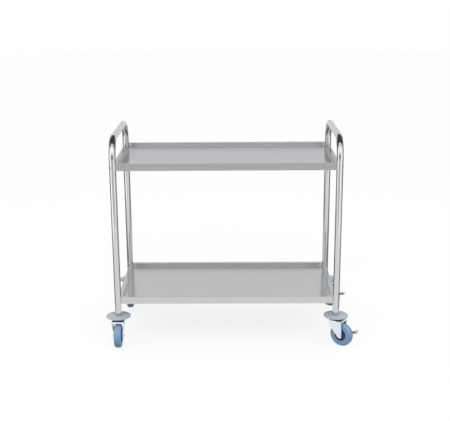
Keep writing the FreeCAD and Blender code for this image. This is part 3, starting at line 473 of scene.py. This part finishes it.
WHEEL_STEPS = 96
TYRE_HALF = 15 * MM
TREAD_HALF = 7 * MM
SHOULDER = 8 * MM
SHOULDER_START = 8
SHOULDER_END = 84
SHOULDER_STEPS = 10
CROWN = 0.35 * MM
SEAM_HALF = 0.35 * MM
BEAD_AT = 35.1 * MM
BEAD = 0.45 * MM
BEAD_STEPS = 6
RIM = 30 * MM
RIM_HALF = 13 * MM
LIP = 26.5 * MM
LIP_PLAY = 0.1 * MM


def make_tyre(tag):
    """Tyre with a crowned tread, the mould's seam, a bead each side and a lip over the core's rim."""
    low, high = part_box(f"tyre_{tag}")
    outer = (high.z - low.z) / 2
    side = TYRE_HALF - BEAD
    shoulder_at = (outer - CROWN - SHOULDER, TREAD_HALF)
    half = [(outer, SEAM_HALF), (outer - CROWN / 2, 2 * SEAM_HALF)]
    half += [(outer - CROWN, TREAD_HALF - SEAM_HALF)]
    tread_points = len(half)
    half += arc(shoulder_at, SHOULDER - BEAD, SHOULDER_START, SHOULDER_END, SHOULDER_STEPS)
    half += arc((BEAD_AT, side), BEAD, 0, 180, BEAD_STEPS)
    half += [(LIP + BEAD, side), (LIP, side - BEAD), (LIP, RIM_HALF + LIP_PLAY)]
    half += [(RIM + LIP_PLAY, RIM_HALF + LIP_PLAY), (RIM + LIP_PLAY, RIM_HALF)]
    profile = half + [(r, -a) for r, a in reversed(half)]
    points, faces = spun(profile, along_joint(tag, "roll"), WHEEL_STEPS)
    name = f"moulded_tyre_{tag}"
    tyre = closed_piece(name, points, faces, f"wheel_{tag}", "tyre_rubber", [f"tyre_{tag}"], TYRE_SHARP)
    worn = tyre.data.attributes.new(WEAR, "FLOAT", "POINT")
    for index, point in enumerate(worn.data):
        ring = index // WHEEL_STEPS
        point.value = float(min(ring, len(profile) - 1 - ring) < tread_points)


# Axle fasteners

HEX_STEPS = 8
HEX_COUNT = 6 * HEX_STEPS
AXLE_FLATS = 13 * MM
AXLE_HEAD = 4 * MM
HEX_CHAMFER = math.tan(math.radians(30))
HEX_FACE_SHARE = 0.96
AXLE_RADIUS = 4 * MM
CENTRE_SHARE = 0.15
THREAD_PITCH = 1.25 * MM
THREAD_DEPTH = 0.6 * MM
THREAD_SLICES = 6


def hex_rings(start, end, chamfered_start, chamfered_end, bore):
    """Rings of a hexagon along Z with its corners turned off at its free faces, from bore to bore."""
    flat = AXLE_FLATS / 2
    face = HEX_FACE_SHARE * flat
    turns = [math.radians((360 * i / HEX_COUNT) % 60 - 30) for i in range(HEX_COUNT)]
    outline = [flat / math.cos(turn) for turn in turns]
    rings = [[(bore, start)] * HEX_COUNT, [(face, start)] * HEX_COUNT]
    rings.append([(r, start + chamfered_start * (r - face) * HEX_CHAMFER) for r in outline])
    rings.append([(r, end - chamfered_end * (r - face) * HEX_CHAMFER) for r in outline])
    rings += [[(face, end)] * HEX_COUNT, [(bore, end)] * HEX_COUNT]
    return rings


def thread_rings(start, end):
    """Rings of a thread along Z, its V running round and up by a pitch each turn."""
    slices = int((end - start) / THREAD_PITCH * THREAD_SLICES)
    rings = []
    for number in range(1, slices):
        height = start + (end - start) * number / slices
        phases = [(height / THREAD_PITCH - step / HEX_COUNT) % 1 for step in range(HEX_COUNT)]
        rings.append([(AXLE_RADIUS - THREAD_DEPTH * abs(2 * phase - 1), height) for phase in phases])
    return rings


def along_axle(tag):
    """The axle's place with Z along it and X level, the way in which the solid hexagons have a corner."""
    return along_joint(tag, "roll") @ Matrix.Rotation(math.radians(90), 4, "Z")


def span_along(place, node):
    """Lowest and highest point of a solid along the Z axis of a place."""
    heights = [(place.inverted() @ v.co).z for v in frame["nodes"][node].data.vertices]
    return min(heights), max(heights)


def make_axle_fasteners(tag):
    """Hex bolt and nut with turned-off corners, and the thread that stands out of the nut."""
    place = along_axle(tag)
    head_start, tail_end = span_along(place, f"axle_bolt_{tag}")
    nut_start, nut_end = span_along(place, f"axle_nut_{tag}")
    head_end = head_start + AXLE_HEAD
    centre = CENTRE_SHARE * AXLE_RADIUS
    rings = hex_rings(head_start, head_end, 1, 0, centre)[:-1]
    rings.append([(AXLE_RADIUS, head_end)] * HEX_COUNT)
    rings.append([(AXLE_RADIUS, nut_start)] * HEX_COUNT)
    rings += thread_rings(nut_start, tail_end)
    rings.append([(AXLE_RADIUS - THREAD_DEPTH, tail_end)] * HEX_COUNT)
    rings.append([(centre, tail_end)] * HEX_COUNT)
    points, faces = from_rings(rings, place, False)
    faces.append(tuple(range(HEX_COUNT)))
    faces.append(tuple(range(len(points) - HEX_COUNT, len(points))))
    body = f"castor_{tag}"
    closed_piece(f"hex_bolt_{tag}", points, faces, body, "zinc_steel", [f"axle_bolt_{tag}"])
    points, faces = from_rings(hex_rings(nut_start, nut_end, 0, 1, AXLE_RADIUS), place, True)
    closed_piece(f"hex_nut_{tag}", points, faces, body, "zinc_steel", [f"axle_nut_{tag}"])


# Softened edges

BROKEN_EDGE = 0.4 * MM
BROKEN_FROM = 40
SAME_POINT = 0.002 * MM


def soften(node):
    """Break a carried-over solid's sharp edges, as pressing and tumbling leave them."""
    piece = frame["nodes"][node]
    weld = piece.modifiers.new("joined", "WELD")
    weld.merge_threshold = SAME_POINT
    bevel = piece.modifiers.new("broken_edges", "BEVEL")
    bevel.width = BROKEN_EDGE
    bevel.segments = 2
    bevel.limit_method = "ANGLE"
    bevel.angle_limit = math.radians(BROKEN_FROM)
    bevel.harden_normals = True


# Spot welds that hold the channel under each tray

CHANNEL_FLANGE = 14 * MM
CHANNEL_SHEET = 1.2 * MM
WELD_PITCH = 55 * MM
WELD_RADIUS = 2.8 * MM
WELD_PROUD = 0.12 * MM
WELD_STEPS = 20
WELD_EYE = 0.0002 * MM
WELD_DISH_SHARE = 0.7
WELD_LIP_SHARE = 0.85


def make_spot_welds(tray):
    """Row of spot welds along each flange of the channel: dished rounds with a low lip, seen from below."""
    low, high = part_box(f"{tray}_stiffener")
    # The eye is too small to see, and makes each round a closed ring.
    dish = (WELD_DISH_SHARE * WELD_RADIUS, 0)
    lip = (WELD_LIP_SHARE * WELD_RADIUS, -WELD_PROUD)
    profile = [(WELD_EYE, 0), dish, lip, (WELD_RADIUS, 0), (WELD_RADIUS, WELD_PROUD), (WELD_EYE, WELD_PROUD)]
    points = []
    faces = []
    length = high.x - low.x
    count = int((length - WELD_PITCH) / WELD_PITCH)
    first = low.x + (length - count * WELD_PITCH) / 2
    for sign in (-1, 1):
        y = sign * ((high.y - low.y) / 2 - CHANNEL_FLANGE / 2)
        for number in range(count + 1):
            place = Matrix.Translation((first + number * WELD_PITCH, y, high.z - CHANNEL_SHEET))
            more, turned = spun(profile, place, WELD_STEPS)
            faces += [tuple(i + len(points) for i in face) for face in turned]
            points += more
    closed_piece(f"{tray}_spot_welds", points, faces, "frame", "tray_sheet")


# Floor, sky, lamp and cards

FLOOR_RADIUS = 14.0
FLOOR_DROP = 0.2 * MM
FLOOR_STEPS = 96
PAPER_GLOW = 0.84
PAPER_SHADED = 0.2
PAPER_GREY = 0.3
HORIZON = 0.12
ZENITH = 1.0
WHITE = (1, 1, 1, 1)


def background_ray(tree):
    """1 for a ray that shows the background: from the camera, off metal, or through something clear."""
    path = add(tree, "ShaderNodeLightPath").outputs
    ways = {0: path["Is Glossy Ray"], 1: path["Is Transmission Ray"]}
    shiny = add(tree, "ShaderNodeMath", ways, operation="ADD").outputs[0]
    # Light that a matt surface gathers by way of metal is plain light.
    none_matt = {0: path["Diffuse Depth"], 1: 0.5}
    direct = add(tree, "ShaderNodeMath", none_matt, operation="LESS_THAN").outputs[0]
    clear = add(tree, "ShaderNodeMath", {0: shiny, 1: direct}, operation="MULTIPLY").outputs[0]
    either = {0: clear, 1: path["Is Camera Ray"]}
    return add(tree, "ShaderNodeMath", either, operation="ADD", use_clamp=True).outputs[0]


def make_floor():
    """White paper floor: shown white, but with the trolley's shadow, and a plain pale floor to the light."""
    bpy.ops.mesh.primitive_circle_add(
        vertices=FLOOR_STEPS, radius=FLOOR_RADIUS, fill_type="NGON", location=(0, 0, -FLOOR_DROP)
    )
    floor = bpy.context.object
    floor.name = "studio_floor"
    material, tree = new_material("white_paper")
    glow = add(tree, "ShaderNodeEmission", {"Strength": PAPER_GLOW})
    shaded = add(tree, "ShaderNodeBsdfDiffuse", {"Color": (PAPER_SHADED, PAPER_SHADED, PAPER_SHADED, 1)})
    seen = add(tree, "ShaderNodeAddShader", {0: glow.outputs[0], 1: shaded.outputs[0]})
    paper = add(tree, "ShaderNodeBsdfDiffuse", {"Color": (PAPER_GREY, PAPER_GREY, PAPER_GREY, 1)})
    shown = {0: background_ray(tree), 1: paper.outputs[0], 2: seen.outputs[0]}
    both = add(tree, "ShaderNodeMixShader", shown)
    add(tree, "ShaderNodeOutputMaterial", {"Surface": both.outputs[0]})
    material.cycles.emission_sampling = "NONE"
    floor.data.materials.append(material)


def make_sky():
    """White to whatever shows the background; to the light, a soft sky that is brightest overhead."""
    world = bpy.data.worlds.new("studio")
    world.use_nodes = True
    tree = world.node_tree
    tree.nodes.clear()
    way = add(tree, "ShaderNodeTexCoord")
    height = add(tree, "ShaderNodeSeparateXYZ", {0: way.outputs["Generated"]}).outputs["Z"]
    brightness = spread(tree, height, HORIZON, ZENITH)
    dome = add(tree, "ShaderNodeBackground", {"Color": WHITE, "Strength": brightness})
    white = add(tree, "ShaderNodeBackground", {"Color": WHITE, "Strength": 1.0})
    shown = {0: background_ray(tree), 1: dome.outputs[0], 2: white.outputs[0]}
    both = add(tree, "ShaderNodeMixShader", shown)
    add(tree, "ShaderNodeOutputWorld", {"Surface": both.outputs[0]})
    scene.world = world


def facing(place, target):
    """A transform at a place, its -Z towards a target."""
    turn = (Vector(target) - Vector(place)).to_track_quat("-Z", "Y")
    return Matrix.Translation(place) @ turn.to_matrix().to_4x4()


def make_lamp(name, place, target, size, radiance):
    """A softbox that lights the trolley; metal sees its card instead."""
    data = bpy.data.lights.new(name, "AREA")
    data.shape = "RECTANGLE"
    data.size, data.size_y = size
    data.energy = radiance * math.pi * size[0] * size[1]
    lamp = bpy.data.objects.new(name, data)
    scene.collection.objects.link(lamp)
    lamp.matrix_world = facing(place, target)
    lamp.visible_camera = False
    lamp.visible_glossy = False


def make_card(name, place, target, size, grey):
    """A card that only metal sees: dark ones edge a polished tube, bright ones light it."""
    mesh = bpy.data.meshes.new(name)
    half_x, half_y = size[0] / 2, size[1] / 2
    corners = [(-half_x, -half_y, 0), (half_x, -half_y, 0), (half_x, half_y, 0), (-half_x, half_y, 0)]
    mesh.from_pydata(corners, [], [(0, 1, 2, 3)])
    card = bpy.data.objects.new(name, mesh)
    scene.collection.objects.link(card)
    card.matrix_world = facing(place, target)
    material, tree = new_material(name)
    tone = add(tree, "ShaderNodeEmission", {"Strength": grey})
    clear = add(tree, "ShaderNodeBsdfTransparent")
    shown = {0: background_ray(tree), 1: clear.outputs[0], 2: tone.outputs[0]}
    both = add(tree, "ShaderNodeMixShader", shown)
    add(tree, "ShaderNodeOutputMaterial", {"Surface": both.outputs[0]})
    material.cycles.emission_sampling = "NONE"
    mesh.materials.append(material)
    card.visible_camera = False
    card.visible_diffuse = False
    card.visible_shadow = False
    card.visible_transmission = False


# Places of the studio's pieces, chosen to match the photograph

SOFTBOX_AT = (0, -2.9, 3.0)
SOFTBOX_AIM = (0, 0, 0.6)
SOFTBOX_SIZE = (3.6, 1.6)
STRIP_SIZE = (0.9, 1.92)
LEFT_STRIP_AT = (-1.72, -1.0, 1.0)
LEFT_STRIP_AIM = (-0.46, -0.23, 1.0)
RIGHT_STRIP_AT = (1.21, -1.53, 1.0)
RIGHT_STRIP_AIM = (0.46, -0.23, 1.0)
FLAG_X = 2.4
FLAG_Y = 1.5
FLAG_AIM = (0, 0, 1.0)
FLAG_SIZE = (2.4, 2.0)
SIDE_FLOOR_X = 2.6
SIDE_FLOOR_Y = 1.4
SIDE_FLOOR_SIZE = (3.6, 3.6)
REAR_FLOOR_Y = 2.6
REAR_FLOOR_SIZE = (1.6, 3.6)
FRONT_FLOOR_Y = -3.4
FRONT_FLOOR_SIZE = (5.0, 2.6)
FLOOR_CARD_Z = 0.02
REAR_FLOOR_Z = 0.01
REAR_CARD_AT = (0, 5.2, 1.6)
REAR_CARD_AIM = (0, 0, 1.6)
WIDE_SIZE = (9.0, 3.2)
FRONT_CARD_AT = (0, -4.6, 0.9)
FRONT_CARD_AIM = (0, 0, 0.9)
FRONT_CARD_SIZE = (6.0, 1.7)
OVERHEAD_AT = (0, 0.8, 3.0)
OVERHEAD_AIM = (0, 0.8, 0)


def make_studio():
    """A softbox in front above, a white floor and sky, and the cards that metal reflects."""
    make_floor()
    make_sky()
    make_lamp("front_softbox", SOFTBOX_AT, SOFTBOX_AIM, SOFTBOX_SIZE, 2.9)
    # The sheen is the softbox as metal sees it, and the strips run down the tubes as long highlights.
    make_card("front_sheen", SOFTBOX_AT, SOFTBOX_AIM, SOFTBOX_SIZE, 1.6)
    make_card("left_strip", LEFT_STRIP_AT, LEFT_STRIP_AIM, STRIP_SIZE, 1.7)
    make_card("right_strip", RIGHT_STRIP_AT, RIGHT_STRIP_AIM, STRIP_SIZE, 1.5)
    # Dark flags edge the tubes, and grey floor beside and behind shows low in them.
    for side, sign in SIDES.items():
        flag_at = (sign * FLAG_X, FLAG_Y, 1.0)
        make_card(f"{side}_flag", flag_at, FLAG_AIM, FLAG_SIZE, 0.08)
        floor_at = (sign * SIDE_FLOOR_X, SIDE_FLOOR_Y, FLOOR_CARD_Z)
        floor_aim = (sign * SIDE_FLOOR_X, SIDE_FLOOR_Y, 1)
        make_card(f"{side}_floor_card", floor_at, floor_aim, SIDE_FLOOR_SIZE, 0.3)
    rear_floor_at = (0, REAR_FLOOR_Y, REAR_FLOOR_Z)
    make_card("rear_floor_card", rear_floor_at, (0, REAR_FLOOR_Y, 1), REAR_FLOOR_SIZE, 0.42)
    # The trays' floors reflect the rear card, and their rear walls the front one.
    make_card("rear_card", REAR_CARD_AT, REAR_CARD_AIM, WIDE_SIZE, 0.83)
    make_card("front_card", FRONT_CARD_AT, FRONT_CARD_AIM, FRONT_CARD_SIZE, 0.28)
    # The tubes' bends show a dark ceiling, and the trays' front faces the floor before them.
    make_card("overhead_flag", OVERHEAD_AT, OVERHEAD_AIM, WIDE_SIZE, 0.06)
    front_floor_at = (0, FRONT_FLOOR_Y, FLOOR_CARD_Z)
    make_card("front_floor_card", front_floor_at, (0, FRONT_FLOOR_Y, 1), FRONT_FLOOR_SIZE, 0.72)


make_camera()
make_studio()
finish_frame()
for side in SIDES:
    make_end_frame(side)
for tray in ("top_tray", "low_tray"):
    make_spot_welds(tray)
for tag in TAGS:
    make_tyre(tag)
    make_axle_fasteners(tag)
    soften(f"fork_{tag}")
for end in ENDS:
    soften(f"brake_lever_{end}_right")
